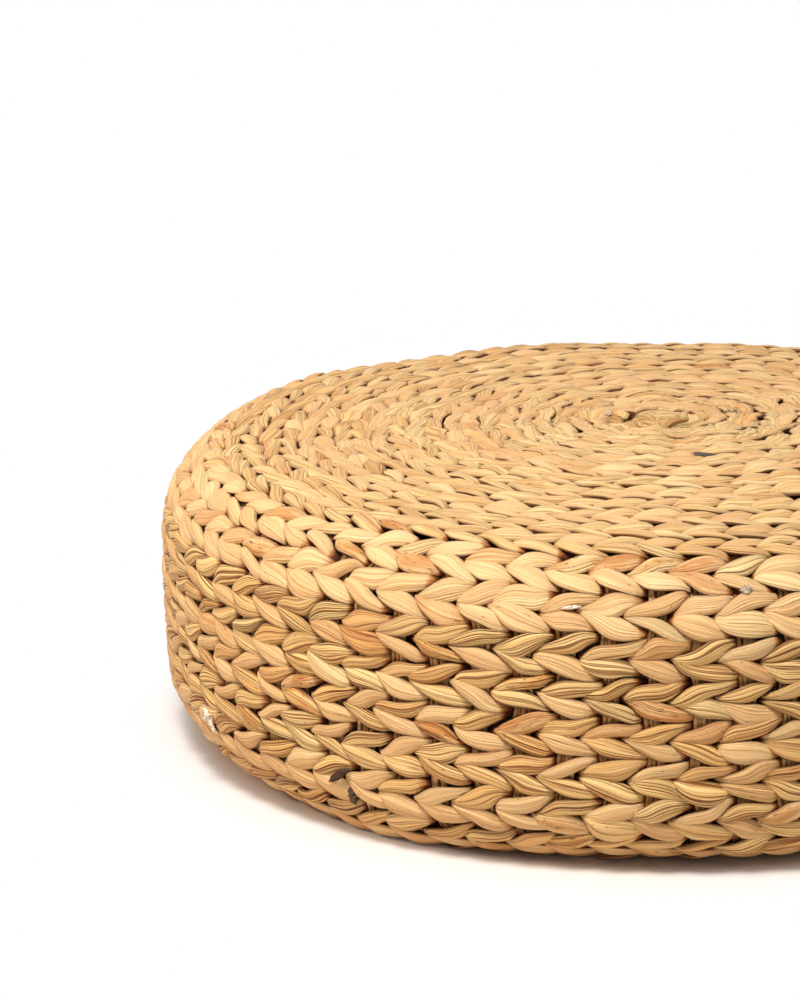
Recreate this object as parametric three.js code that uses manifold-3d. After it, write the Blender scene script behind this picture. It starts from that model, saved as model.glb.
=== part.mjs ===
// Low round woven pouf. Paired weavers are twined in one spiral of courses over stakes,
// from a knot at the crown out over the shoulder, down the side and in under the foot,
// where a bound border leaves the underside open. A cage of steel rod carries it all.
// Millimetres, +Z up. The origin is the middle of the footprint, on the floor.

import * as THREE from "three";
import { mergeVertices } from "three/addons/utils/BufferGeometryUtils.js";
import Module from "manifold-3d";

// Overall form
const overallDiameter = 600;
const overallHeight = 180;
const shoulderRadius = 48;
const footRadius = 43;
const turnInWidth = 67;
const crownSlope = THREE.MathUtils.degToRad(4);

// Weave: a course is one turn of the paired weavers
const coursePitch = 21.6;
const courseGap = 0.6;
const weaveThickness = 13;
const taperTip = 4;
const standFlat = 0.5;
const knotDiameter = 22;
const borderDiameter = 12;

// Stakes that the courses are twined over
const stakeWidth = 8;
const stakeThickness = 4;
const stakeCount = 24;

// Steel cage
const rodDiameter = 6;
const hoopDiameter = 8;
const crownRingDiameter = 60;
const ribCount = 8;

// Clearance between pieces that seat on each other, and how far a cutter runs past
const seatGap = 0.3;
const cutOverrun = 10;

// How finely round things are faceted
const facetsPerTurn = 24;
const rodSides = 8;
const bendSteps = 4;
const domeSteps = 3;

const fullTurn = Math.PI * 2;
const quarterTurn = Math.PI / 2;
const facetAngle = fullTurn / facetsPerTurn;

const fibre = new THREE.MeshStandardMaterial({ color: 0xd9a768, roughness: 0.62, metalness: 0 });
const cord = new THREE.MeshStandardMaterial({ color: 0xb9854a, roughness: 0.8, metalness: 0 });
const coatedSteel = new THREE.MeshStandardMaterial({ color: 0x2b211b, roughness: 0.5, metalness: 0.2 });

const group = new THREE.Group();

function addPiece(name, geometry, material) {
  const mesh = new THREE.Mesh(geometry, material);
  mesh.name = name;
  group.add(mesh);
}

// The pouf's section, followed along the middle of the weave from the crown to the mouth.
// Each span keeps its length and how steeply it falls: 0 is level outward, a quarter turn
// is straight down and a half turn is level inward.
const outerRadius = overallDiameter / 2;
const mouthRadius = outerRadius - footRadius - turnInWidth;
const halfWeave = weaveThickness / 2;
const domeRadius = (outerRadius - shoulderRadius) / Math.sin(crownSlope) + shoulderRadius;
const shoulderHeight =
  overallHeight - domeRadius + (domeRadius - shoulderRadius) * Math.cos(crownSlope);
const footHeight = footRadius - standFlat;

function bend(radius, fromSlope, toSlope, steps) {
  return { radius, fromSlope, length: radius * (toSlope - fromSlope), steps };
}

function straight(length, slope) {
  return { radius: Infinity, fromSlope: slope, length, steps: 1 };
}

const dome = bend(domeRadius - halfWeave, 0, crownSlope, domeSteps);
const shoulder = bend(shoulderRadius - halfWeave, crownSlope, quarterTurn, bendSteps);
const side = straight(shoulderHeight - footHeight, quarterTurn);
const foot = bend(footRadius - halfWeave, quarterTurn, Math.PI, bendSteps);
const under = straight(turnInWidth, Math.PI);
const spans = [dome, shoulder, side, foot, under];

// A point of one span: along a bend it turns about the bend's centre, else it runs on.
function pointOnSpan(span, along) {
  const slope = span.fromSlope + along / span.radius;
  if (span.radius === Infinity) {
    return {
      slope,
      radius: span.startRadius + along * Math.cos(slope),
      height: span.startHeight - along * Math.sin(slope),
    };
  }
  return {
    slope,
    radius: span.startRadius + span.radius * (Math.sin(slope) - Math.sin(span.fromSlope)),
    height: span.startHeight + span.radius * (Math.cos(slope) - Math.cos(span.fromSlope)),
  };
}

let reached = { radius: 0, height: overallHeight - halfWeave };
let travelled = 0;
for (const span of spans) {
  span.start = travelled;
  span.startRadius = reached.radius;
  span.startHeight = reached.height;
  reached = pointOnSpan(span, span.length);
  travelled += span.length;
  span.end = travelled;
  span.middle = (span.start + span.end) / 2;
}
const sectionLength = travelled;

// The section at a distance along it, moved out along its normal by a lift.
function sectionAt(distance, lift = 0) {
  const span = spans.find((each) => distance <= each.end) ?? under;
  const point = pointOnSpan(span, distance - span.start);
  return {
    slope: point.slope,
    radius: point.radius + lift * Math.sin(point.slope),
    height: point.height + lift * Math.cos(point.slope),
  };
}

// Distances where a piece along the section needs a ring: its ends, and the span's steps.
function stations(from, to) {
  const between = spans.flatMap((span) =>
    Array.from({ length: span.steps }, (_, step) => span.start + (span.length * step) / span.steps)
  );
  return [from, ...between.filter((distance) => distance > from && distance < to), to];
}

// One body from rings of equal count, with fans over both ends. Rings run the way that
// leaves the outside on the right of each step.
function loft(rings) {
  const sides = rings[0].length;
  const positions = rings.flat().flatMap((point) => point.toArray());
  const faces = [];
  for (let ring = 0; ring + 1 < rings.length; ring += 1) {
    for (let corner = 0; corner < sides; corner += 1) {
      const here = ring * sides + corner;
      const beside = ring * sides + ((corner + 1) % sides);
      faces.push(here, here + sides, beside);
      faces.push(beside, here + sides, beside + sides);
    }
  }
  const last = (rings.length - 1) * sides;
  for (let corner = 1; corner + 1 < sides; corner += 1) {
    faces.push(0, corner, corner + 1);
    faces.push(last, last + corner + 1, last + corner);
  }
  const geometry = new THREE.BufferGeometry();
  geometry.setAttribute("position", new THREE.Float32BufferAttribute(positions, 3));
  geometry.setIndex(faces);
  geometry.computeVertexNormals();
  return geometry;
}

// A point beside the section: across runs down the section, lift out of it and aside round it.
function placed(azimuth, base, across, lift, aside) {
  const radius = base.radius + across * Math.cos(base.slope) + lift * Math.sin(base.slope);
  const height = base.height - across * Math.sin(base.slope) + lift * Math.cos(base.slope);
  return new THREE.Vector3(
    radius * Math.cos(azimuth) - aside * Math.sin(azimuth),
    radius * Math.sin(azimuth) + aside * Math.cos(azimuth),
    height
  );
}

// Courses: the pair of weavers fills the pitch but for the gap, and is pinched where the
// spiral starts beside the knot and where it runs out beside the border.
const courseHalf = (coursePitch - courseGap) / 2;
const knotRadius = knotDiameter / 2;
const firstEdge = knotRadius + courseGap;
const lastEdge = sectionLength - borderDiameter - courseGap;
const firstCentre = firstEdge + taperTip - courseHalf;
const lastCentre = lastEdge - taperTip + courseHalf;
const courseTurns = (lastCentre - firstCentre) / coursePitch;
const weaveSectionShares = [[1, 0], [0.5, 1], [-0.5, 1], [-1, 0], [-0.5, -1], [0.5, -1]];

function courseRing(facet, aside) {
  const centre = firstCentre + (coursePitch * facet) / facetsPerTurn;
  const innerEdge = Math.max(firstEdge, centre - courseHalf);
  const outerEdge = Math.min(lastEdge, centre + courseHalf);
  const halfWidth = (outerEdge - innerEdge) / 2;
  const base = sectionAt((innerEdge + outerEdge) / 2);
  return weaveSectionShares.map(([widthShare, liftShare]) =>
    placed(facet * facetAngle, base, halfWidth * widthShare, halfWeave * liftShare, aside)
  );
}

function courseRings(fromFacet, toFacet) {
  const rings = [];
  for (let facet = fromFacet; facet <= toFacet; facet += 1) {
    const startAside = facet === fromFacet ? courseGap / 2 : 0;
    const endAside = facet === toFacet ? -courseGap / 2 : 0;
    rings.push(courseRing(facet, startAside + endAside));
  }
  return rings;
}

// The least gap between a ring's outline and the outline one turn on, sampled along sides.
function leastSelfGap(rings) {
  const samplesPerSide = 4;
  let least = Infinity;
  const outlineSide = new THREE.Line3();
  const nearest = new THREE.Vector3();
  for (let index = 0; index + facetsPerTurn < rings.length; index += 1) {
    const inner = rings[index];
    const outer = rings[index + facetsPerTurn];
    inner.forEach((corner, at) => {
      const next = inner[(at + 1) % inner.length];
      for (let sample = 0; sample < samplesPerSide; sample += 1) {
        const point = corner.clone().lerp(next, sample / samplesPerSide);
        outer.forEach((outerCorner, outerAt) => {
          outlineSide.set(outerCorner, outer[(outerAt + 1) % outer.length]);
          outlineSide.closestPointToPoint(point, true, nearest);
          least = Math.min(least, nearest.distanceTo(point));
        });
      }
    });
  }
  return least;
}

const wasm = await Module();
wasm.setup();

function toManifold(geometry) {
  const bare = geometry.clone();
  bare.deleteAttribute("normal");
  bare.deleteAttribute("uv");
  const merged = mergeVertices(bare);
  return new wasm.Manifold(
    new wasm.Mesh({
      numProp: 3,
      vertProperties: Float32Array.from(merged.attributes.position.array),
      triVerts: Uint32Array.from(merged.index.array),
    })
  );
}

function fromManifold(solid) {
  const mesh = solid.getMesh();
  const geometry = new THREE.BufferGeometry();
  geometry.setAttribute("position", new THREE.BufferAttribute(mesh.vertProperties, 3));
  geometry.setIndex(new THREE.BufferAttribute(mesh.triVerts, 1));
  geometry.computeVertexNormals();
  return geometry;
}

// Everything below the floor, for the flat that the courses are pressed to where they stand.
function cutAtFloor(geometry) {
  const width = overallDiameter + 2 * cutOverrun;
  const floorBlock = new THREE.BoxGeometry(width, width, cutOverrun);
  floorBlock.translate(0, 0, -cutOverrun / 2);
  return fromManifold(toManifold(geometry).subtract(toManifold(floorBlock)));
}

// The spiral is one run of weavers in parts that meet end to end, each about as long as the
// span of the section that it covers.
const lastFacet = Math.floor(courseTurns * facetsPerTurn);
const weaveSpans = [
  { name: "weave_top", span: dome, standing: false },
  { name: "weave_shoulder", span: shoulder, standing: false },
  { name: "weave_side", span: side, standing: false },
  { name: "weave_foot", span: foot, standing: true },
  { name: "weave_under", span: under, standing: true },
];
let partStart = 0;
const weaveParts = weaveSpans.map(({ name, span, standing }) => {
  const wholeTurns = Math.round((span.end - firstCentre) / coursePitch);
  const part = { name, standing, from: partStart, to: Math.min(wholeTurns * facetsPerTurn, lastFacet) };
  partStart = part.to;
  return part;
});
for (const { name, from, to, standing } of weaveParts) {
  const rings = courseRings(from, to);
  const winding = loft(rings);
  console.log(`${name}: ${((to - from) / facetsPerTurn).toFixed(2)} loops, least gap to itself ` +
    `${leastSelfGap(rings).toFixed(2)} mm`);
  addPiece(name, standing ? cutAtFloor(winding) : winding, fibre);
}

// The knot that the weavers start from: a flattened ball that fills the eye of the spiral.
const knotArcSteps = 6;
const knotProfile = Array.from({ length: knotArcSteps + 1 }, (_, step) => {
  const angle = (step / knotArcSteps) * Math.PI - quarterTurn;
  return new THREE.Vector2(
    step % knotArcSteps === 0 ? 0 : knotRadius * Math.cos(angle),
    overallHeight - halfWeave + halfWeave * Math.sin(angle)
  );
});
const knot = new THREE.LatheGeometry(knotProfile, facetsPerTurn);
knot.rotateX(quarterTurn);
addPiece("crown_knot", knot, fibre);

// The border that binds the stake ends round the open underside.
const borderRadius = borderDiameter / 2;
const border = new THREE.TorusGeometry(
  mouthRadius + borderRadius, borderRadius, rodSides, facetsPerTurn
);
border.translate(0, 0, borderRadius + standFlat);
addPiece("mouth_border", border, fibre);

// Layers inward from the middle of the weave. A stake is flat across while the courses turn
// in facets, so its bed is lower by what the facet falls over half its width.
const stakeBed = seatGap + (stakeWidth / 2) * Math.tan(facetAngle / 2);
const stakeOuter = -(halfWeave + stakeBed);
const stakeInner = stakeOuter - stakeThickness;
const rodRadius = rodDiameter / 2;
const hoopRadius = hoopDiameter / 2;
const rodLift = stakeInner - seatGap - rodRadius;
const innerHoopLift = rodLift - rodRadius - seatGap - hoopRadius;
const mouthHoopLift = stakeInner - seatGap - hoopRadius;

// Stakes fan out from where they lie side by side round the crown, and end over the border.
const stakeStart = (stakeWidth / 2 + courseGap) / Math.tan(Math.PI / stakeCount);
const stakeEnd = sectionLength - borderRadius;

function stake(azimuth) {
  const rings = stations(stakeStart, stakeEnd).map((distance) => {
    const base = sectionAt(distance);
    return [
      placed(azimuth, base, 0, stakeOuter, -stakeWidth / 2),
      placed(azimuth, base, 0, stakeOuter, stakeWidth / 2),
      placed(azimuth, base, 0, stakeInner, stakeWidth / 2),
      placed(azimuth, base, 0, stakeInner, -stakeWidth / 2),
    ];
  });
  return loft(rings);
}

for (let index = 0; index < stakeCount; index += 1) {
  const number = String(index + 1).padStart(2, "0");
  addPiece(`stake_${number}`, stake((index / stakeCount) * fullTurn), cord);
}

// The cage: ribs of rod from the crown ring to the mouth hoop, each welded up from a seat
// spoke, an upright and a base spoke that meet over the shoulder hoop and the base hoop.
function rod(azimuth, from, to) {
  const rings = stations(from, to).map((distance) => {
    const base = sectionAt(distance);
    return Array.from({ length: rodSides }, (_, corner) => {
      const angle = (corner / rodSides) * fullTurn;
      const lift = rodLift + rodRadius * Math.cos(angle);
      return placed(azimuth, base, 0, lift, rodRadius * Math.sin(angle));
    });
  });
  return loft(rings);
}

function hoop(distance, lift, radius) {
  const seat = sectionAt(distance, lift);
  const ring = new THREE.TorusGeometry(seat.radius, radius, rodSides, facetsPerTurn);
  ring.translate(0, 0, seat.height);
  return ring;
}

const crownRingAt = crownRingDiameter / 2;
const mouthHoopAt = sectionLength - borderRadius;
addPiece("crown_ring", hoop(crownRingAt, rodLift, rodRadius), coatedSteel);
addPiece("shoulder_hoop", hoop(shoulder.middle, innerHoopLift, hoopRadius), coatedSteel);
addPiece("base_hoop", hoop(foot.middle, innerHoopLift, hoopRadius), coatedSteel);
addPiece("mouth_hoop", hoop(mouthHoopAt, mouthHoopLift, hoopRadius), coatedSteel);

const ribRuns = [
  ["seat_spoke", crownRingAt + rodRadius + seatGap, shoulder.middle - seatGap],
  ["side_upright", shoulder.middle + seatGap, foot.middle - seatGap],
  ["base_spoke", foot.middle + seatGap, mouthHoopAt - hoopRadius - seatGap],
];
for (const [name, from, to] of ribRuns) {
  for (let index = 0; index < ribCount; index += 1) {
    addPiece(`${name}_${index + 1}`, rod((index / ribCount) * fullTurn, from, to), coatedSteel);
  }
}

export default group;
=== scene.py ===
"""Low round woven pouf of banana stems on a cage of steel rod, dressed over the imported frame.

Pairs of stems are twined over upright cord stakes, in rows that lean one way and then the
other, wound in one spiral from the crown over the shoulder and in under the foot. Metres,
+Z up, the origin on the floor in the middle of the footprint, the camera on the -Y side.
"""
import math

import bpy
import numpy as np
from mathutils import Matrix, Vector


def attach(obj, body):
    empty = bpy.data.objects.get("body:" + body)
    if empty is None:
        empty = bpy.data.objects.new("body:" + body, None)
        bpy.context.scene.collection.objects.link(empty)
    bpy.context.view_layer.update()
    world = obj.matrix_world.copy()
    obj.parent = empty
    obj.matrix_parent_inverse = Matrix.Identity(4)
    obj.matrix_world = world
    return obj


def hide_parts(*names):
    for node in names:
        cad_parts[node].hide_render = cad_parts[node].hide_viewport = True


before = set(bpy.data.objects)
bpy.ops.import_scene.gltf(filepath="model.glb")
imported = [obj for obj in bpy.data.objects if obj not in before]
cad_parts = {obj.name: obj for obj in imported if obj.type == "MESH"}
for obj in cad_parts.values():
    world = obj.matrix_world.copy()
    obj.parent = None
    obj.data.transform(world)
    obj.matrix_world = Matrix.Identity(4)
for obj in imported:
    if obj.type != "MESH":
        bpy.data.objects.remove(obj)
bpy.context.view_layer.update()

MM = 0.001
TURN = 2 * math.pi

# The pouf's section, as in the solids. A depth goes from the weave's face to a rod's middle
OVERALL_DIAMETER = 600 * MM
OVERALL_HEIGHT = 180 * MM
SHOULDER_RADIUS = 48 * MM
FOOT_RADIUS = 43 * MM
TURN_IN_WIDTH = 67 * MM
CROWN_SLOPE = math.radians(4)
WEAVE_THICKNESS = 13 * MM
STAND_FLAT = 0.5 * MM
BORDER_DIAMETER = 12 * MM
ROD_DIAMETER = 6 * MM
HOOP_DIAMETER = 8 * MM
CROWN_RING_DIAMETER = 60 * MM
ROD_DEPTH = 21.1 * MM
HOOP_DEPTH = 28.4 * MM
MOUTH_HOOP_DEPTH = 22.1 * MM
RIB_COUNT = 8
SOLID_STAKES = 24

# The twining: a row is one pair of stems, and two rows that lean opposite ways share a turn
ROW_PITCH = 10.8 * MM
FIRST_ROW = 8.5 * MM
ROW_AT_FRONT = 348.3 * MM
FRONT_TURN = -0.25
STAKE_COUNT = 80
STAKE_TURN = math.radians(-1.0)
TOP_LEAF_PITCH = 20.6 * MM
CROWN_LEAF_PITCH = 15 * MM
CROWN_RADIUS = 75 * MM


# Numbers that wander

WANDER_KNOTS = 4096


def wander(position, wavelength, seed):
    """Smooth random curve in -1 to 1: random values a wavelength apart, eased between."""
    knots = np.random.default_rng(seed).uniform(-1, 1, WANDER_KNOTS)
    cell = np.floor(position / wavelength).astype(int)
    share = position / wavelength - cell
    ease = share * share * (3 - 2 * share)
    return knots[cell % WANDER_KNOTS] * (1 - ease) + knots[(cell + 1) % WANDER_KNOTS] * ease


# The wall by hand

WAVE_LENGTH = 60 * MM
WAVE_HEIGHT = 0.9 * MM

# Places where the wall bulges or falls in: azimuth in degrees, distance down the section and
# height in mm, half width in degrees and half length in mm
BULGES = (
    (156, 262, 5.0, 16, 45),
    (120, 262, 2.5, 16, 45),
    (188, 362, 2.4, 24, 50),
    (190, 440, -3.8, 18, 22),
    (237, 438, 6.0, 11, 24),
)

# Waves that move the weave aside and along: how many go round, how they turn on the way down,
# and where they start. Their heights are in mm, and they die out over the eases
ASIDE_WAVES = ((29, 0.9, 0.0), (47, -1.3, 1.7), (67, 1.9, 4.1))
ASIDE_HEIGHT = 0.85
ALONG_WAVES = ((17, -1.1, 0.6), (41, 0.7, 2.9), (59, -1.6, 0.0))
ALONG_HEIGHT = 0.75
CROWN_EASE = 120 * MM
MOUTH_EASE = 30 * MM


def swell(azimuth, distance):
    """How far the hand-made wall stands out or in: a few long waves round it and down it, and
    the bulges that the photo shows, each a bell-shaped rise."""
    down = distance / WAVE_LENGTH
    out = WAVE_HEIGHT * (
        np.sin(5 * azimuth + 1.1 * down) * np.cos(0.9 * down + 2 * azimuth)
        + 0.7 * np.sin(11 * azimuth - 0.6 * down + 2.0)
    )
    for turned, down_to, height, width, length in BULGES:
        round_to = np.mod(azimuth - math.radians(turned) + math.pi, TURN) - math.pi
        out = out + height * MM * np.exp(
            -(round_to / math.radians(width)) ** 2 - ((distance / MM - down_to) / length) ** 2
        )
    return out


def wave_sum(waves, azimuth, down):
    """Sum of sine waves that go round the wall and turn on the way down it."""
    return sum(np.sin(count * azimuth + rate * down + start) for count, rate, start in waves)


def strayed(azimuth, distance):
    """Azimuth and distance of a place in the even weave once hand work has moved it: sums of
    waves round and down the wall, so neighbours move together."""
    down = distance / WAVE_LENGTH * TURN
    aside = ASIDE_HEIGHT * wave_sum(ASIDE_WAVES, azimuth, down)
    along = ALONG_HEIGHT * wave_sum(ALONG_WAVES, azimuth, down)
    wall = np.clip(distance / CROWN_EASE, 0, 1)
    edge = np.clip((SECTION_LENGTH - distance) / MOUTH_EASE, 0, 1)
    return azimuth + aside * MM * wall / (OVERALL_DIAMETER / 2), distance + along * MM * edge


# The section

def section_spans():
    """Dome, shoulder, side, foot and underside, each with where it starts, its bend radius, and
    its first slope, radius and height, and then the whole length. Slope is 0 level outward, a
    quarter turn straight down."""
    half = WEAVE_THICKNESS / 2
    outer = OVERALL_DIAMETER / 2
    dome_radius = (outer - SHOULDER_RADIUS) / math.sin(CROWN_SLOPE) + SHOULDER_RADIUS
    shoulder_height = (
        OVERALL_HEIGHT - dome_radius + (dome_radius - SHOULDER_RADIUS) * math.cos(CROWN_SLOPE)
    )
    foot_height = FOOT_RADIUS - STAND_FLAT
    bends = [
        (dome_radius - half, 0, CROWN_SLOPE),
        (SHOULDER_RADIUS - half, CROWN_SLOPE, math.pi / 2),
        (None, math.pi / 2, shoulder_height - foot_height),
        (FOOT_RADIUS - half, math.pi / 2, math.pi),
        (None, math.pi, TURN_IN_WIDTH),
    ]
    spans = []
    radius, height, start = 0.0, OVERALL_HEIGHT - half, 0.0
    for bend, slope, last in bends:
        length = last if bend is None else bend * (last - slope)
        spans.append((start, bend, slope, radius, height))
        if bend is None:
            radius += length * math.cos(slope)
            height -= length * math.sin(slope)
        else:
            radius += bend * (math.sin(last) - math.sin(slope))
            height += bend * (math.cos(last) - math.cos(slope))
        start += length
    return spans, start


SPANS, SECTION_LENGTH = section_spans()
DOME_END, SHOULDER_END, SIDE_END, FOOT_END = (span[0] for span in SPANS[1:])
AXIS_CLEAR = 0.1 * MM
ASIDE_CLEAR = 4 * MM
FLOOR_CLEAR = 0.05 * MM


def section_at(distance):
    """Radius, height and slope of the middle of the weave, a distance down the section:
    along a bend the slope grows by length over radius, and elsewhere it stays."""
    distance = np.maximum(distance, 0.0)
    radius, height, slope = (np.zeros_like(distance) for _ in range(3))
    for start, bend, first_slope, first_radius, first_height in SPANS:
        here = distance >= start
        run = distance[here] - start
        if bend is None:
            radius[here] = first_radius + run * math.cos(first_slope)
            height[here] = first_height - run * math.sin(first_slope)
            slope[here] = first_slope
        else:
            now = first_slope + run / bend
            radius[here] = first_radius + bend * (np.sin(now) - math.sin(first_slope))
            height[here] = first_height + bend * (np.cos(now) - math.cos(first_slope))
            slope[here] = now
    return radius, height, slope


def on_pouf(azimuth, distance, lift, aside=0.0):
    """Points by azimuth, distance down the section, lift out of the middle of the weave, and
    length aside round it. Nothing crosses the axis or goes below the floor."""
    azimuth, distance = strayed(azimuth, distance)
    radius, height, slope = section_at(distance)
    lift = lift + swell(azimuth, distance)
    away = np.maximum(radius + lift * np.sin(slope), AXIS_CLEAR)
    angle = azimuth + aside / np.maximum(away, ASIDE_CLEAR)
    up = np.maximum(height + lift * np.cos(slope), FLOOR_CLEAR)
    return np.stack([away * np.cos(angle), away * np.sin(angle), up], -1)


# Meshes

def add_object(name, data):
    """An object that holds a mesh, a lamp or a camera, in the scene."""
    thing = bpy.data.objects.new(name, data)
    bpy.context.collection.objects.link(thing)
    return thing


def tube_faces(grid, closed):
    """Point numbers of a tube's faces: quads join each ring to the next, and a flat face closes
    each end. Faces point out, where the volume under the quads, summed by corner, is positive."""
    rings, sides = grid.shape[:2]
    index = np.arange(rings * sides).reshape(rings, sides)
    before, after = (index, np.roll(index, -1, 0)) if closed else (index[:-1], index[1:])
    quads = np.stack([before, np.roll(before, -1, 1), np.roll(after, -1, 1), after], -1)
    quads = quads.reshape(-1, 4)
    ends = [] if closed else [index[0][::-1], index[-1]]
    first, second, third, fourth = (grid.reshape(-1, 3)[quads[:, corner]] for corner in range(4))
    leaning = np.cross(second - first, third - first) + np.cross(third - first, fourth - first)
    if np.sum(first * leaning) < 0:
        quads = quads[:, ::-1]
        ends = [end[::-1] for end in ends]
    return quads, ends


def add_tubes(name, tubes, material, closed=False):
    """One piece from tubes, each a grid of points (ring, side, xyz) with named values: a number
    for the whole tube, or numbers for each ring or each point."""
    points, loops, totals, values = [], [], [], {}
    offset = 0
    for grid, named in tubes:
        rings, sides = grid.shape[:2]
        quads, ends = tube_faces(grid, closed)
        loops += [(quads + offset).ravel(), *(end + offset for end in ends)]
        totals += [np.full(len(quads), 4), np.full(len(ends), sides)]
        points.append(grid.reshape(-1, 3))
        for key, value in named.items():
            if np.ndim(value) < 3:
                value = np.broadcast_to(value, (rings, sides))
            values.setdefault(key, []).append(value.reshape(rings * sides, -1))
        offset += rings * sides
    points, loops, totals = np.concatenate(points), np.concatenate(loops), np.concatenate(totals)
    starts = np.concatenate([[0], np.cumsum(totals)[:-1]])
    mesh = bpy.data.meshes.new(name)
    mesh.vertices.add(len(points))
    mesh.vertices.foreach_set("co", points.astype(np.float32).ravel())
    mesh.loops.add(len(loops))
    mesh.loops.foreach_set("vertex_index", loops.astype(np.int32))
    mesh.polygons.add(len(totals))
    mesh.polygons.foreach_set("loop_start", starts.astype(np.int32))
    mesh.update(calc_edges=True)
    mesh.shade_smooth()
    for key, value in values.items():
        value = np.concatenate(value).astype(np.float32)
        kind, field = ("FLOAT_VECTOR", "vector") if value.shape[1] == 3 else ("FLOAT", "value")
        mesh.attributes.new(key, kind, "POINT").data.foreach_set(field, value.ravel())
    mesh.materials.append(material)
    piece = add_object(name, mesh)
    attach(piece, "root")
    return piece


def round_angles(sides):
    """Angles of a number of corners, evenly round a circle."""
    return np.arange(sides) / sides * TURN


def tube_round(path, radius, sides):
    """Grid of a round tube along a path of points: at each point a circle square to the path,
    its start turned to stay level with the way up."""
    ahead = np.gradient(path, axis=0)
    ahead /= np.linalg.norm(ahead, axis=1, keepdims=True)
    up = np.where(np.abs(ahead[:, 2:3]) > 0.95, [[1.0, 0.0, 0.0]], [[0.0, 0.0, 1.0]])
    across = np.cross(ahead, up)
    across /= np.linalg.norm(across, axis=1, keepdims=True)
    above = np.cross(across, ahead)
    angle = round_angles(sides)[None, :, None]
    radius = np.reshape(radius, (-1, 1, 1))
    return path[:, None] + radius * (
        np.cos(angle) * across[:, None] + np.sin(angle) * above[:, None]
    )


def ring_round(path, radius, sides):
    """Grid of a round tube along a path whose ends meet: the tube is carried two points past
    the join, so that it is square to the path there too, and then cut back."""
    return tube_round(np.concatenate([path[-2:], path, path[:2]]), radius, sides)[2:-2]


def pulled_straight(length, radius, angle):
    """Where a stem's points lie once it is pulled straight, which its patterns follow: the
    length along it, and the corner's angle on a circle round it."""
    length, angle = np.broadcast_arrays(length[:, None], angle[None])
    return np.stack([length, radius * np.cos(angle), radius * np.sin(angle)], -1)


# Materials

def rgb(hex_code):
    """Linear colour of an sRGB hex code."""
    shares = [int(hex_code[i:i + 2], 16) / 255 for i in (1, 3, 5)]
    return [s / 12.92 if s <= 0.04045 else ((s + 0.055) / 1.055) ** 2.4 for s in shares] + [1.0]


def add_node(tree, kind, settings=None, **inputs):
    """One shader node, with its settings, and its inputs by name or number: a value, another
    node's output, or another node for its first output."""
    node = tree.nodes.new("ShaderNode" + kind)
    for key, value in (settings or {}).items():
        setattr(node, key, value)
    for key, value in inputs.items():
        socket = node.inputs[int(key[1:])] if key[0] == "_" else node.inputs[key.replace("_", " ")]
        if isinstance(value, bpy.types.Node):
            value = value.outputs[0]
        if isinstance(value, bpy.types.NodeSocket):
            tree.links.new(value, socket)
        else:
            socket.default_value = value
    return node


def new_material(name):
    """An empty node material and its tree."""
    material = bpy.data.materials.new(name)
    material.use_nodes = True
    material.node_tree.nodes.clear()
    return material, material.node_tree


def set_ramp(node, stops):
    """Stops of a colour ramp, as places and hex codes."""
    elements = node.color_ramp.elements
    while len(elements) < len(stops):
        elements.new(1.0)
    for element, (place, code) in zip(elements, stops):
        element.position = place
        element.color = rgb(code)


def end_material(tree, colour, height, strength, depth, **look):
    """The end of a material: a skin of a colour, with its relief from a height, and its look."""
    bump = add_node(tree, "Bump", Height=height, Strength=strength, Distance=depth)
    shader = add_node(tree, "BsdfPrincipled", Base_Color=colour, Normal=bump, **look)
    add_node(tree, "OutputMaterial", Surface=shader)


# Patterns of the sheath, each a noise drawn out along the fibres: its length, width, detail and
# roughness. The real fibres lie about 0.3 mm apart, too fine to show from here, so the grain is
# drawn at three times that
SHEATH_PATTERNS = {
    "grain": (110 * MM, 0.9 * MM, 1.0, 0.4),
    "threads": (150 * MM, 1.6 * MM, 1.0, 0.5),
    "bands": (70 * MM, 2.6 * MM, 2.0, 0.5),
    "clouds": (22 * MM, 6 * MM, 3.0, 0.5),
    "flecks": (4.5 * MM, 1.3 * MM, 2.0, 0.5),
}


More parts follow.
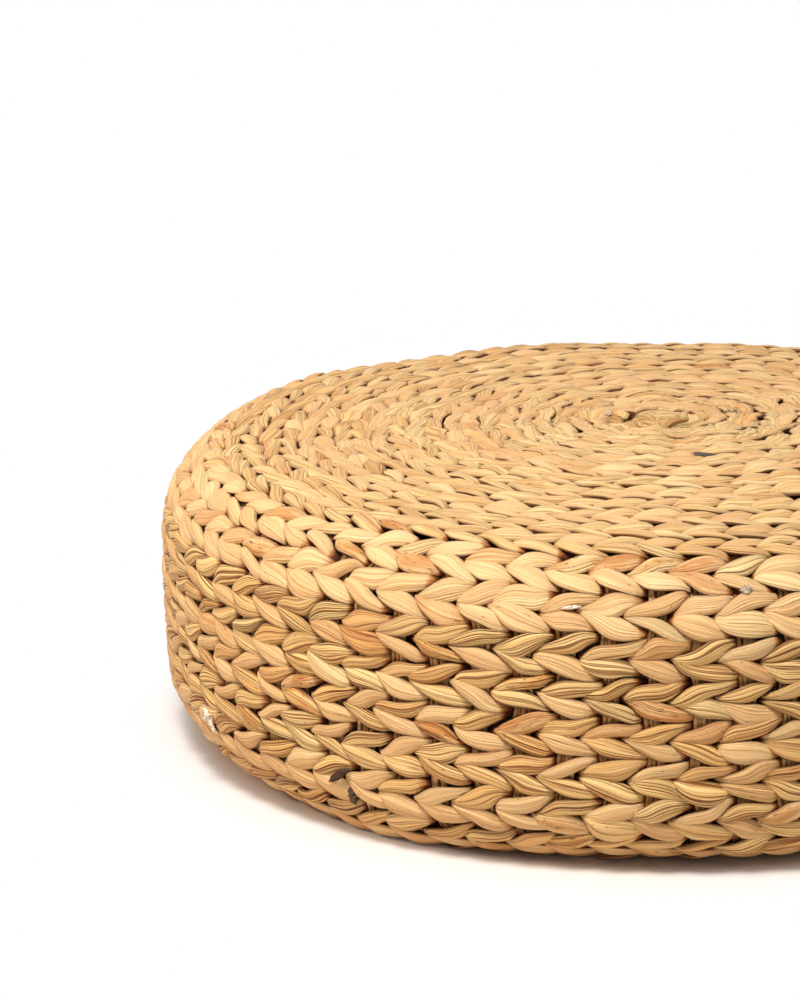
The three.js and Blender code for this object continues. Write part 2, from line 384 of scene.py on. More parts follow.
def banana_stem():
    """Dried banana sheath, pulled off in strips and twisted soft. Long fibres raise fine ridges
    along it, its skin keeps a dull waxy sheen, and its colour runs from straw to russet."""
    material, tree = new_material("dried_banana_stem")
    stem = add_node(tree, "Attribute", {"attribute_name": "stem"}).outputs["Vector"]
    tone, stain, streaky, tucked, edge = (
        add_node(tree, "Attribute", {"attribute_name": name}).outputs["Fac"]
        for name in ("tone", "stain", "streaky", "tucked", "edge")
    )
    noise = {}
    for pattern, (length, width, detail, roughness) in SHEATH_PATTERNS.items():
        drawn_out = add_node(
            tree, "Mapping", {"vector_type": "POINT"}, Vector=stem,
            Scale=(1 / length, 1 / width, 1 / width),
        )
        noise[pattern] = add_node(
            tree, "TexNoise",
            Vector=drawn_out, Scale=1.0, Detail=detail, Roughness=roughness,
        )

    outside = add_node(tree, "ValToRGB", Fac=tone)
    set_ramp(outside, [
        (0.0, "#F4D898"), (0.3, "#F0C882"), (0.6, "#E7B16E"),
        (0.82, "#D99856"), (0.93, "#AE7448"), (1.0, "#564C44"),
    ])
    # a stem that shows the inside of its sheath is smooth, matt and pinker
    inside = add_node(tree, "ValToRGB", Fac=tone)
    set_ramp(inside, [
        (0.0, "#EFCC96"), (0.5, "#E3B57F"), (0.8, "#CB945F"), (0.93, "#A26E48"), (1.0, "#564C44"),
    ])
    skin = add_node(
        tree, "Mix", {"data_type": "RGBA"},
        _0=streaky, _6=inside, _7=outside,
    ).outputs[2]
    # thin dark threads, a few to a stem, where a slow noise crosses its middle value
    off_middle = add_node(tree, "Math", {"operation": "SUBTRACT"}, _0=noise["threads"], _1=0.5)
    off_middle = add_node(tree, "Math", {"operation": "ABSOLUTE"}, _0=off_middle)
    thread = add_node(
        tree, "MapRange", Value=off_middle,
        From_Min=0.010, From_Max=0.034, To_Min=0.6, To_Max=0.0,
    )
    threads_show = add_node(tree, "Math", {"operation": "MULTIPLY_ADD"}, _0=streaky, _1=0.7, _2=0.3)
    thread = add_node(tree, "Math", {"operation": "MULTIPLY"}, _0=thread, _1=threads_show)
    # dark fibres between the ridges, stronger on streaky stems
    groove = add_node(
        tree, "MapRange", Value=noise["grain"],
        From_Min=0.40, From_Max=0.45, To_Min=1.0, To_Max=0.0,
    )
    groove = add_node(tree, "Math", {"operation": "MULTIPLY"}, _0=groove, _1=streaky)
    # broad bands along it, a little darker
    band = add_node(
        tree, "MapRange", Value=noise["bands"],
        From_Min=0.4, From_Max=0.7, To_Min=0.0, To_Max=0.4,
    )
    # russet stain in clouds along some stems
    cloud = add_node(
        tree, "MapRange", Value=noise["clouds"],
        From_Min=0.58, From_Max=0.44, To_Min=0.0, To_Max=1.0,
    )
    cloud = add_node(tree, "Math", {"operation": "MULTIPLY"}, _0=cloud, _1=stain)
    # dark flecks, thick on a stained stem and rare on the others
    fleck_edge = add_node(tree, "Math", {"operation": "MULTIPLY_ADD"}, _0=stain, _1=0.13, _2=0.29)
    fleck = add_node(tree, "Math", {"operation": "SUBTRACT"}, _0=fleck_edge, _1=noise["flecks"])
    fleck = add_node(tree, "Math", {"operation": "MULTIPLY", "use_clamp": True}, _0=fleck, _1=12.0)
    fleck = add_node(tree, "Math", {"operation": "MULTIPLY"}, _0=fleck, _1=0.75)
    # painted shade: where a stem tucks in between others, its colour is darkened through brown to
    # brown-black, standing for the shade that falls there
    painted_shade = add_node(tree, "ValToRGB", Fac=tucked)
    set_ramp(painted_shade, [(0.0, "#FFFFFF"), (0.22, "#D0A27A"), (0.45, "#76482E"), (1.0, "#26120B")])
    # painted shade: its two thin edges are darkened brown, a dark outline standing for the shade
    # where one stem meets the next
    torn = add_node(tree, "Math", {"operation": "MULTIPLY"}, _0=edge, _1=0.85)

    layers = (
        (thread, rgb("#7C4C28"), "MULTIPLY"),
        (groove, rgb("#8C5C36"), "MULTIPLY"),
        (band, rgb("#E3BF92"), "MULTIPLY"),
        (cloud, rgb("#E2C29E"), "MULTIPLY"),
        (fleck, rgb("#6E4326"), "MIX"),
        (1.0, painted_shade, "MULTIPLY"),
        (torn, rgb("#7A4020"), "MULTIPLY"),
    )
    for share, colour, blend in layers:
        skin = add_node(
            tree, "Mix", {"data_type": "RGBA", "blend_type": blend},
            _0=share, _6=skin, _7=colour,
        ).outputs[2]

    ridges = add_node(
        tree, "MapRange", Value=noise["grain"],
        From_Min=0.32, From_Max=0.68, To_Min=0.0, To_Max=1.0,
    )
    height = add_node(
        tree, "Math", {"operation": "MULTIPLY_ADD"}, _0=noise["bands"], _1=0.8, _2=ridges
    )
    height = add_node(tree, "Math", {"operation": "SUBTRACT"}, _0=height, _1=thread)
    end_material(tree, skin, height, 1.0, 0.5 * MM, Roughness=0.55, IOR=1.5, Specular_IOR_Level=0.22)
    return material


def fibre_cord():
    """Cord twisted from thin strips of the same sheath. Its plies show as slanting ridges."""
    material, tree = new_material("twisted_fibre_cord")
    ply_spacing = 4.8 * MM
    ply_slant = math.radians(35)
    # at this scale a wave texture has a band every two units
    bands_scale = 0.16
    stem = add_node(tree, "Attribute", {"attribute_name": "stem"}).outputs["Vector"]
    tone = add_node(tree, "Attribute", {"attribute_name": "tone"}).outputs["Fac"]
    base = add_node(tree, "ValToRGB", Fac=tone)
    set_ramp(base, [(0.0, "#E6BE86"), (0.5, "#D2A066"), (1.0, "#A87442")])
    slant = add_node(
        tree, "Mapping", {"vector_type": "POINT"}, Vector=stem,
        Rotation=(0.0, 0.0, ply_slant), Scale=(2 / ply_spacing,) * 3,
    )
    plies = add_node(
        tree, "TexWave", {"wave_type": "BANDS", "bands_direction": "X"},
        Vector=slant, Scale=bands_scale, Distortion=1.2, Detail=2.0, Detail_Scale=1.5,
    )
    dark = add_node(
        tree, "Mix", {"data_type": "RGBA", "blend_type": "MULTIPLY"},
        _0=0.5, _6=base, _7=plies.outputs["Color"],
    ).outputs[2]
    end_material(
        tree, dark, plies.outputs["Fac"], 0.8, 0.4 * MM,
        Roughness=0.75, IOR=1.45, Specular_IOR_Level=0.3,
    )
    return material


def coated_steel():
    """Powder-coated steel rod: an even, slightly pebbled brown-black skin with a soft shine."""
    material, tree = new_material("powder_coated_steel")
    pebble_size = 1.2 * MM
    dust_size = 30 * MM
    place = add_node(tree, "TexCoord").outputs["Object"]
    pebble = add_node(tree, "TexNoise", Vector=place, Scale=1 / pebble_size, Detail=2.0)
    dust = add_node(tree, "TexNoise", Vector=place, Scale=1 / dust_size, Detail=4.0)
    colour = add_node(tree, "ValToRGB", Fac=dust)
    set_ramp(colour, [(0.35, "#2A211B"), (0.7, "#3B3028")])
    end_material(tree, colour, pebble, 0.3, 0.08 * MM, Roughness=0.6, IOR=1.5)
    return material


def torn_lining():
    """The papery lining and pith of the sheath where it has torn loose, from cream to blackened:
    matt and crumpled, mottled by the millimetre."""
    material, tree = new_material("torn_sheath_lining")
    mottle_size = 1.2 * MM
    tone = add_node(tree, "Attribute", {"attribute_name": "tone"}).outputs["Fac"]
    place = add_node(tree, "TexCoord").outputs["Object"]
    mottle = add_node(tree, "TexNoise", Vector=place, Scale=1 / mottle_size, Detail=3.0)
    base = add_node(tree, "ValToRGB", Fac=tone)
    set_ramp(base, [(0.0, "#FBF2DF"), (0.2, "#EBD9C2"), (0.5, "#B8A084"), (1.0, "#573F30")])
    shade = add_node(tree, "ValToRGB", Fac=mottle)
    set_ramp(shade, [(0.35, "#A08878"), (0.6, "#FFFFFF")])
    mottled = add_node(
        tree, "Mix", {"data_type": "RGBA", "blend_type": "MULTIPLY"},
        _0=0.8, _6=base, _7=shade,
    ).outputs[2]
    end_material(
        tree, mottled, mottle, 1.0, 0.5 * MM, Roughness=0.8, IOR=1.45, Specular_IOR_Level=0.2
    )
    return material


STEM = banana_stem()
CORD = fibre_cord()
STEEL = coated_steel()
LINING = torn_lining()


# Camera

CROWN = Vector((0.0, 0.0, OVERALL_HEIGHT))
CAMERA_DISTANCE = 1.9
CAMERA_ELEVATION = math.radians(12.9)
SENSOR_HEIGHT = 36.0
PHOTO_WIDTH, PHOTO_HEIGHT = 800, 1000
FOCAL_PIXELS = 3190.0
CROWN_PIXEL = (666.0, 414.0)


def make_camera():
    """A long lens that looks past the crown, turned so that the crown falls on its pixel."""
    back = Vector((0.0, -math.cos(CAMERA_ELEVATION), math.sin(CAMERA_ELEVATION)))
    right = Vector((1.0, 0.0, 0.0))
    up = back.cross(right)
    aim = (
        right * (PHOTO_WIDTH / 2 - CROWN_PIXEL[0])
        - up * (PHOTO_HEIGHT / 2 - CROWN_PIXEL[1])
        - back * FOCAL_PIXELS
    ).normalized()
    turn = (-back).rotation_difference(aim).to_matrix()
    axes = Matrix((right, up, back)).transposed()
    data = bpy.data.cameras.new("camera")
    data.sensor_fit = "VERTICAL"
    data.sensor_height = SENSOR_HEIGHT
    data.lens = FOCAL_PIXELS / PHOTO_HEIGHT * SENSOR_HEIGHT
    data.clip_start = 0.05
    camera = add_object("camera", data)
    camera.matrix_world = Matrix.Translation(CROWN + back * CAMERA_DISTANCE) @ (turn @ axes).to_4x4()
    bpy.context.scene.camera = camera
    return camera


camera = make_camera()


def pixels_of(points):
    """Where points fall in the photo, in pixels from its upper left corner."""
    inverse = np.array(camera.matrix_world.inverted())
    local = points @ inverse[:3, :3].T + inverse[:3, 3]
    x = PHOTO_WIDTH / 2 + FOCAL_PIXELS * local[..., 0] / -local[..., 2]
    y = PHOTO_HEIGHT / 2 - FOCAL_PIXELS * local[..., 1] / -local[..., 2]
    return np.stack([x, y], -1)


# Leaves that stand out in the photo, by the pixel where each is, and their tone and stain
RUSSET_LEAVES = (
    (402, 571), (434, 656), (432, 723), (654, 710), (518, 716), (621, 569), (713, 563), (390, 519),
)
BROWNER_LEAVES = (
    (438, 617), (697, 736), (751, 675), (712, 584), (509, 736), (612, 731), (665, 655), (380, 783),
)
NOTABLE_LEAVES = ((RUSSET_LEAVES, 0.5, 0.8), (BROWNER_LEAVES, 0.44, 0.5))
LEAF_STRETCH = 0.42
LEAF_LIFT = 5 * MM

# The slate leaf, and the stretch of its pass that is slate, in passes from its middle
SLATE_LEAF = (702, 453)
SLATE_FROM, SLATE_TO, SLATE_EASE = -0.02, 0.5, 0.06


# Weavers

# One pass of a stem in a row that leans down, every 30 degrees from behind a stake, in mm: where
# its middle lies across the row, its half width and thickness, and how far out it stands
PASS_ACROSS = (-0.6, -3.6, -4.7, -3.9, -2.9, -1.9, -0.9, 0.1, 1.1, 2.1, 3.0, 2.6)
PASS_HALF_WIDTH = (3.0, 2.2, 1.5, 3.0, 4.2, 4.9, 5.1, 5.0, 4.6, 3.9, 3.0, 2.4)
PASS_HALF_THICKNESS = (1.6, 1.7, 1.6, 1.7, 1.85, 2.0, 2.0, 2.0, 1.95, 1.9, 1.8, 1.7)
PASS_OUT = (-4.5, -3.0, 0.8, 2.7, 3.5, 3.9, 4.0, 3.8, 3.3, 2.6, 1.2, -2.3)

# How passes change down the section: places, and the number at each
LEVELS = (0, DOME_END, SHOULDER_END)
WIDTHS = ((0, 90 * MM, DOME_END, SHOULDER_END), (1.32, 1.27, 1.12, 1.06))
SWAYS = ((0, 90 * MM, DOME_END), (0.5, 0.8, 1.0))
RELIEFS = ((0, 60 * MM, 150 * MM, DOME_END, SHOULDER_END), (0.4, 0.45, 0.65, 0.85, 1.0))
EVENNESS = ((60 * MM, 150 * MM), (0.4, 0.0))
STREAKS = (LEVELS, (0.4, 0.5, 1.0))
# painted shade: by level, how far a stem may lie down in the weave before its colour is darkened,
# and the depth over which the darkening grows
SHADE_STARTS = (LEVELS, (0.9, 1.35, 0.85))
SHADE_DEPTH = 2.4 * MM
EVEN_HALF_WIDTH = 4.2 * MM
FLAT_LIFT = 3.8 * MM
RIM_START, RIM_END = SHOULDER_END * 0.85, SHOULDER_END * 1.1

# How far a row may spread before it is pressed together, and what a big pass has more
ROW_FREE = 4.7 * MM
ROW_LIMIT = 6.2 * MM
BIG_SPREAD = 1.8 * MM
BIG_LIFT = 0.7 * MM
BIG_WIDTH = 0.3

# Shares of the passes that are stained, dark or big, and of the stems that show the smooth
# inside of their sheath
STAINED_SHARE = 0.05
DARK_SHARE = 0.005
BIG_SHARE = 0.07
SMOOTH_SHARE = 0.42

# A stem's rings and its section: corners lie close on its face and wider apart at its back.
# Creases are waves round it, with their length along it in mm and their height
RINGS_PER_PASS = 16
FRONT_SIDES = 8
BACK_SIDES = 4
SECTION_ANGLES = np.concatenate([
    np.arange(FRONT_SIDES) / FRONT_SIDES * math.pi,
    math.pi + np.arange(BACK_SIDES) / BACK_SIDES * math.pi,
])
CREASES = ((2, 20, 0.05), (3, 16, 0.04), (5, 13, 0.02))
CREASE_TURN_LENGTH = 70 * MM
ROLL = 0.14
ROLL_LENGTH = 110 * MM
LENS_POWER = 1.3
EDGE_SHARE = 0.5
STEM_RADIUS = 5 * MM
SPIRAL_STEPS = 24000
SPARE_PASSES = 4

# Where a pass's values change over to the next one's, in passes from its middle
CHANGE_START = 0.36
CHANGE_LENGTH = 0.28


def spiral_table():
    """Stakes passed, azimuth and distance down the section, finely along the spiral's first row.
    Where the wall is wide there are STAKE_COUNT to a turn, and nearer the crown leaves keep
    their length, so a turn passes its girth over that length. Summed inward from the rim."""
    front_turns = (ROW_AT_FRONT - ROW_PITCH - FIRST_ROW) / (2 * ROW_PITCH)
    start_turn = FRONT_TURN - front_turns % 1.0
    last = (SECTION_LENGTH - BORDER_DIAMETER - ROW_PITCH / 2 - FIRST_ROW) / (2 * ROW_PITCH)
    wound = np.linspace(0.0, last, SPIRAL_STEPS)
    distance = FIRST_ROW + 2 * ROW_PITCH * wound
    radius, _, _ = section_at(distance)
    leaf_pitch = np.interp(radius, [0, CROWN_RADIUS], [CROWN_LEAF_PITCH, TOP_LEAF_PITCH])
    rate = np.where(
        distance > RIM_START, STAKE_COUNT, np.minimum(STAKE_COUNT, TURN * radius / leaf_pitch)
    )
    passed = np.concatenate([[0.0], np.cumsum((rate[1:] + rate[:-1]) / 2 * np.diff(wound))])
    azimuth = (wound + start_turn) * TURN
    end_phase = (azimuth[-1] - STAKE_TURN) / TURN * STAKE_COUNT
    return passed - passed[-1] + end_phase, azimuth, distance


STAKES_PASSED, SPIRAL_AZIMUTH, SPIRAL_DISTANCE = spiral_table()


def on_spiral(passed, row):
    """Azimuth and distance down the section where a row has passed a number of stakes."""
    return (
        np.interp(passed, STAKES_PASSED, SPIRAL_AZIMUTH),
        np.interp(passed, STAKES_PASSED, SPIRAL_DISTANCE) + row * ROW_PITCH,
    )


def stem_passes(row, strand):
    """Number of the first pass of a stem over the front, and each pass's azimuth and distance
    down the section. A few to spare at each end carry the values past the stem's ends."""
    first = math.ceil((STAKES_PASSED[0] + strand) / 2) - SPARE_PASSES
    last = math.floor((STAKES_PASSED[-1] + strand) / 2) + SPARE_PASSES - 1
    return first, *on_spiral(2.0 * np.arange(first, last) - strand, row)


def stem_rings(row, strand):
    """Phase of each ring of a stem, which grows by half a turn a stake, and its azimuth and
    distance down the section. Rings lie closer together over the front of a stake."""
    first = math.ceil((STAKES_PASSED[0] + strand) / 2)
    last = math.floor((STAKES_PASSED[-1] + strand) / 2) - 1
    step = np.arange(RINGS_PER_PASS) / RINGS_PER_PASS
    phase = TURN * (np.arange(first, last)[:, None] + 0.5 + step[None]).ravel()
    phase = phase - 0.4 * np.sin(phase + 0.5)
    return phase, *on_spiral(phase / math.pi - strand, row)


def leaf_at(pixel):
    """Row, strand and place in its stem of the pass that is seen nearest to a pixel, where a
    length along the row counts less than one across it."""
    found = []
    for row, strand in ((0, 0), (0, 1), (1, 0), (1, 1)):
        _, azimuth, distance = stem_passes(row, strand)
        aside, down = (pixels_of(on_pouf(azimuth, distance, LEAF_LIFT)) - pixel).T
        off = np.hypot(aside * LEAF_STRETCH, down) + np.where(np.sin(azimuth) < 0, 0, PHOTO_WIDTH)
        found.append((off.min(), row, strand, int(np.argmin(off))))
    return min(found)[1:]


def by_pass(values, phase, first):
    """A value for each front pass of a stem, of which the first has the number given, changed
    over where the stem is behind a stake."""
    turn = phase / TURN
    nearest = np.floor(turn + 0.5).astype(int)
    off = turn - nearest
    ease = np.clip((np.abs(off) - CHANGE_START) / CHANGE_LENGTH, 0, 1)
    other = nearest + np.where(off < 0, -1, 1)
    return values[nearest - first] * (1 - ease) + values[other - first] * ease


def stem_tones(count, seed):
    """Tone, stain, streaks and girth for each pass. A stem lasts 8 to 25 passes before the next
    is laid in, and each pass strays a little from its stem."""
    draw = np.random.default_rng(seed)
    lengths = draw.integers(8, 26, count)
    stems = np.repeat(np.arange(count), lengths)[:count]
    kinds = draw.beta(1.6, 2.2, count)
    smooth = draw.random(count) < SMOOTH_SHARE
    tone = np.clip(kinds[stems] * 0.42 + draw.normal(0.08, 0.07, count), 0, 0.6)
    stained = draw.random(count) < STAINED_SHARE
    stain = np.where(stained, draw.uniform(0.5, 1.0, count), draw.uniform(0, 0.25, count))
    tone = np.where(draw.random(count) < DARK_SHARE, draw.uniform(0.5, 0.62, count), tone)
    streaky = np.where(smooth[stems], draw.uniform(0.0, 0.3, count), draw.uniform(0.6, 1.0, count))
    girth = draw.uniform(0.9, 1.1, count)[stems] * draw.uniform(0.9, 1.12, count)
    return tone, stain, streaky, girth


def painted_light_tone(azimuth, distance):
    """Painted light and shade in the tone, by which way the wall faces: paler on the near half of
    the top, and browner down the left side."""
    top = np.interp(distance, [RIM_START, RIM_END], [1.0, 0.0])
    near = np.interp(np.sin(azimuth), [-0.9, 0.3], [-0.11, 0.03])
    left = np.interp(-np.cos(azimuth), [0.3, 0.9], [0.02, 0.09])
    return top * near + (1 - top) * left


def pressed(across, big):
    """Distance across a row, pressed together where it would reach into the rows beside it.
    A big pass stands over its neighbours and may spread further."""
    room = ROW_LIMIT - ROW_FREE + BIG_SPREAD * big
    over = np.maximum(np.abs(across) - ROW_FREE, 0)
    return np.clip(across, -ROW_FREE, ROW_FREE) + np.sign(across) * room * np.tanh(over / room)


def by_phase(values, phase):
    """A length listed every 30 degrees round a pass, in mm, eased between by a smooth curve
    through its neighbours."""
    values = np.array(values) * MM
    place = (phase / TURN + 0.5) * len(values)
    cell = np.floor(place).astype(int)
    share = place - cell
    before, here, after, beyond = (values[(cell + k) % len(values)] for k in (-1, 0, 1, 2))
    bend = 2 * before - 5 * here + 4 * after - beyond
    return here + share / 2 * (
        after - before + share * (bend + share * (3 * (here - after) + beyond - before))
    )


def creased_section(half_width, half_thick, stem_length, seed):
    """Widths and thicknesses of a stem's corners at each ring: a lens with thin edges, creased
    by waves round it that wander along it."""
    angle = SECTION_ANGLES[None]
    crease = np.ones((len(stem_length), angle.size))
    for waves_round, wavelength, height in CREASES:
        heights = height * wander(stem_length, wavelength * MM, seed + 10 * waves_round)
        turned = 4 * wander(stem_length, CREASE_TURN_LENGTH, seed + 11 * waves_round)
        crease += heights[:, None] * np.cos(waves_round * angle + turned[:, None])
    rise = np.sin(angle)
    return (
        half_width[:, None] * np.cos(angle) * crease,
        half_thick[:, None] * np.sign(rise) * np.abs(rise) ** LENS_POWER * crease,
    )


def weaver_grid(row, strand, seed):
    """One stem of a pair, from the crown to the border, as its points, its values and its rings'
    distances down the section. Each pass starts narrow where the stem comes out over the other
    one, fans out over the stake, and goes in wide under the next pass."""
    phase, azimuth, distance = stem_rings(row, strand)
    first_pass, pass_azimuth, pass_distance = stem_passes(row, strand)
    count = len(pass_distance)
    draw = np.random.default_rng(seed)

    def by_ring(values):
        """A value for each ring, from one for each pass."""
        return by_pass(values, phase, first_pass)

    tone, stain, streaky, girth = stem_tones(count, seed)
    # painted light and shade: the tone shifts with which way the wall faces
    tone = tone + painted_light_tone(pass_azimuth, pass_distance)
    for pixels, leaf_tone, leaf_stain in NOTABLE_LEAVES:
        for pixel in pixels:
            *its_stem, place = leaf_at(pixel)
            if its_stem == [row, strand]:
                tone[place], stain[place] = leaf_tone, leaf_stain
    tone = by_ring(tone)
    *its_stem, place = leaf_at(SLATE_LEAF)
    if its_stem == [row, strand]:
        share = phase / TURN - first_pass - place
        slate = np.clip((share - SLATE_FROM) / SLATE_EASE, 0, 1)
        slate = slate * np.clip((SLATE_TO - share) / SLATE_EASE, 0, 1)
        tone = tone * (1 - slate) + slate

    big = by_ring((draw.random(count) < BIG_SHARE) * draw.uniform(0.5, 1.0, count))
    width_share = by_ring(np.clip(draw.normal(1.0, 0.13, count), 0.78, 1.3))
    width_share = width_share * by_ring(girth) ** 0.5 * (1 + BIG_WIDTH * big)
    width_share = width_share * np.interp(distance, *WIDTHS)
    drift = by_ring(draw.normal(0, 0.45, count) * MM)
    tilt = by_ring(draw.normal(1.0, 0.15, count))
    shape_phase = phase - by_ring(draw.normal(0.0, 0.14, count))

    radius, _, _ = section_at(distance)
    stem_length = np.cumsum(np.gradient(azimuth) * np.maximum(radius, 8 * MM))
    middle = by_phase(PASS_ACROSS, shape_phase) * tilt * np.interp(distance, *SWAYS)
    even = np.interp(distance, *EVENNESS)
    half_width = by_phase(PASS_HALF_WIDTH, shape_phase) * width_share
    half_width = half_width * (1 - even) + EVEN_HALF_WIDTH * even
    half_thick = by_phase(PASS_HALF_THICKNESS, shape_phase)
    relief = np.interp(distance, *RELIEFS)
    out = by_phase(PASS_OUT, shape_phase) * relief + FLAT_LIFT * (1 - relief) + BIG_LIFT * big

    wide, thick = creased_section(half_width, half_thick, stem_length, seed)
    roll = (ROLL + 0.1 * wander(stem_length, ROLL_LENGTH, seed + 1))[:, None]
    across = middle[:, None] + wide * np.cos(roll) - thick * np.sin(roll)
    lift = out[:, None] + thick * np.cos(roll) + wide * np.sin(roll)
    lean = (-1, 1)[row]
    grid = on_pouf(
        azimuth[:, None], (distance + drift)[:, None] + lean * pressed(across, big[:, None]), lift
    )
    rise = np.sin(SECTION_ANGLES)
    # painted shade: the lower a corner lies in the weave, the darker its colour, most on the stem's
    # face, half at its edges and none at its back
    painted_shade = np.clip(np.interp(distance, *SHADE_STARTS)[:, None] - lift / SHADE_DEPTH, 0, 1)
    return grid, {
        "stem": pulled_straight(stem_length + seed * 1.7, STEM_RADIUS, SECTION_ANGLES),
        "tone": tone[:, None],
        "stain": by_ring(stain)[:, None],
        "streaky": (by_ring(streaky) * np.interp(distance, *STREAKS))[:, None],
        "tucked": painted_shade * np.clip(0.5 + rise, 0, 1),
        # painted shade along the stem's two thin edges
        "edge": np.clip(1 - np.abs(rise) / EDGE_SHARE, 0, 1) * np.ones_like(lift),
    }, distance


TOP_PIECE_END = DOME_END + 9 * MM
SIDE_PIECE_END = SIDE_END - 14 * MM
ZONES = (
    ("top", 0.0, TOP_PIECE_END, ("weave_top",)),
    ("side", TOP_PIECE_END, SIDE_PIECE_END, ("weave_shoulder", "weave_side")),
    ("foot", SIDE_PIECE_END, SECTION_LENGTH, ("weave_foot", "weave_under")),
)


def make_weavers():
    """Both stems of the two rows, cut at the zones where a stem is behind a stake."""
    for row, row_name in enumerate(("up_lean", "down_lean")):
        for strand in (0, 1):
            grid, values, distance = weaver_grid(row, strand, 100 + 10 * row + strand)
            for zone, low, high, nodes in ZONES:
                first, last = (
                    min(round(edge / RINGS_PER_PASS) * RINGS_PER_PASS, len(grid) - 1)
                    for edge in np.searchsorted(distance, (low, high))
                )
                run = slice(first, last + 1)
                cut = grid[run], {key: value[run] for key, value in values.items()}
                piece = add_tubes(f"stem_{row_name}_{strand + 1}_{zone}", [cut], STEM)
                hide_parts(*nodes)


make_weavers()


# Stakes

CORDS_PER_STAKE = 4
CORD_DIAMETER = 2.7 * MM
CORD_SPACING = 0.86
CORD_SIDES = 6
CORD_RINGS = 64
CORD_SWAY, CORD_SWAY_LENGTH = 0.8 * MM, 23 * MM
CORD_RISE, CORD_RISE_LENGTH = 0.7 * MM, 17 * MM
CORD_LIFTS = (LEVELS, (-3.2, -1.6, 0.0))
STAKE_ROOM = 14 * MM
STAKE_STARTS = (36 * MM, 140 * MM, 76 * MM, 140 * MM)
cord_draw = np.random.default_rng(7)


def make_stakes():
    """Flat bundles of thin cord from near the crown to the border, by azimuth, drawn together
    towards the crown. Each cord follows the section in the middle of the weave, and wanders a
    little from side to side and in and out."""
    stakes_per_piece = STAKE_COUNT // RIB_COUNT
    nodes_per_piece = SOLID_STAKES // RIB_COUNT
    for bunch in range(RIB_COUNT):
        tubes = []
        for stake in range(bunch * stakes_per_piece, (bunch + 1) * stakes_per_piece):
            start = STAKE_STARTS[stake % len(STAKE_STARTS)]
            distance = np.linspace(start, SECTION_LENGTH - BORDER_DIAMETER / 2, CORD_RINGS)
            radius, _, _ = section_at(distance)
            room = np.minimum(1.0, radius * TURN / STAKE_COUNT / STAKE_ROOM + 0.25)
            azimuth = STAKE_TURN + stake / STAKE_COUNT * TURN
            for cord in range(CORDS_PER_STAKE):
                seed = 900 + stake * CORDS_PER_STAKE + cord
                aside = (cord - (CORDS_PER_STAKE - 1) / 2) * CORD_SPACING * CORD_DIAMETER * room
                aside = aside + CORD_SWAY * wander(distance, CORD_SWAY_LENGTH, seed)
                lift = np.interp(distance, *CORD_LIFTS) * MM
                lift = lift + CORD_RISE * wander(distance, CORD_RISE_LENGTH, seed + 400)
                path = on_pouf(azimuth, distance, lift, aside)
                tubes.append((tube_round(path, CORD_DIAMETER / 2, CORD_SIDES), {
                    "stem": pulled_straight(distance, CORD_DIAMETER / 2, round_angles(CORD_SIDES)),
                    "tone": cord_draw.uniform(0.1, 0.9),
                }))
        piece = add_tubes(f"stakes_{bunch + 1}", tubes, CORD)
        nodes = [f"stake_{bunch * nodes_per_piece + k + 1:02d}" for k in range(nodes_per_piece)]
        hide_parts(*nodes)


make_stakes()


# Crown

TANGLE_STRIPS = 90
TANGLE_RINGS = 16
TANGLE_SIDES = 12
TANGLE_BOTTOM = OVERALL_HEIGHT - 10.5 * MM
TANGLE_DEPTH = 7.3 * MM
EYE_TURN = SPIRAL_AZIMUTH[0] + math.radians(80)
EYE_SHIFT = 3 * MM
STRIP_TURN = math.radians(68)
STRIP_HALVES = (3.6, 3.6, 2.0)
STRIP_ARCH = 2.2 * MM
STRIP_TUCK = 3.0 * MM
# painted shade: the tangle's strips darken below this height, fully over this depth
TANGLE_SHADE_TOP, TANGLE_SHADE_DEPTH = OVERALL_HEIGHT - 7 * MM, 12 * MM


def make_crown():
    """The tangle that the weavers start from: short stems laid over each other across the eye,
    wide at the bottom and narrow at the top. Each is a shallow arch with a lens outline, its
    ends tucked down."""
    tubes = []
    draw = np.random.default_rng(31)
    share = np.linspace(-1, 1, TANGLE_RINGS)
    for strip in range(TANGLE_STRIPS):
        drawn_in = 1.3 - 0.7 * strip / TANGLE_STRIPS
        heading = strip * STRIP_TURN + draw.uniform(-0.3, 0.3)
        reach = draw.uniform(17, 24) * MM * drawn_in
        offset = draw.uniform(-20, 20) * MM * drawn_in
        x = share * reach + draw.uniform(-6, 6) * MM
        y = offset + draw.uniform(-4, 4) * MM * share ** 2
        level = TANGLE_BOTTOM + strip / TANGLE_STRIPS * TANGLE_DEPTH
        path = np.stack([
            x * math.cos(heading) - y * math.sin(heading) + EYE_SHIFT * math.cos(EYE_TURN),
            x * math.sin(heading) + y * math.cos(heading) + EYE_SHIFT * math.sin(EYE_TURN),
            level + STRIP_ARCH * (1 - share ** 2) - STRIP_TUCK * share ** 4,
        ], -1)
        half = np.array(STRIP_HALVES) * MM * draw.uniform(0.8, 1.1)
        end = np.clip(1 - np.abs(share) ** 3, 0.2, 1)[:, None, None]
        grid = path[:, None] + (tube_round(path, 1.0, TANGLE_SIDES) - path[:, None]) * half * end
        tubes.append((grid, {
            "stem": pulled_straight(share * reach + strip, STEM_RADIUS, round_angles(TANGLE_SIDES)),
            "tone": draw.uniform(0.05, 0.55),
            "stain": draw.uniform(0.0, 0.3),
            "streaky": draw.uniform(0.4, 1.0),
            # painted shade: a strip's colour is darker the lower it lies in the tangle
            "tucked": np.clip((TANGLE_SHADE_TOP - grid[..., 2]) / TANGLE_SHADE_DEPTH, 0, 1),
        }))
    piece = add_tubes("crown_tangle", tubes, STEM)
    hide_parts("crown_knot")


make_crown()


# Torn scraps

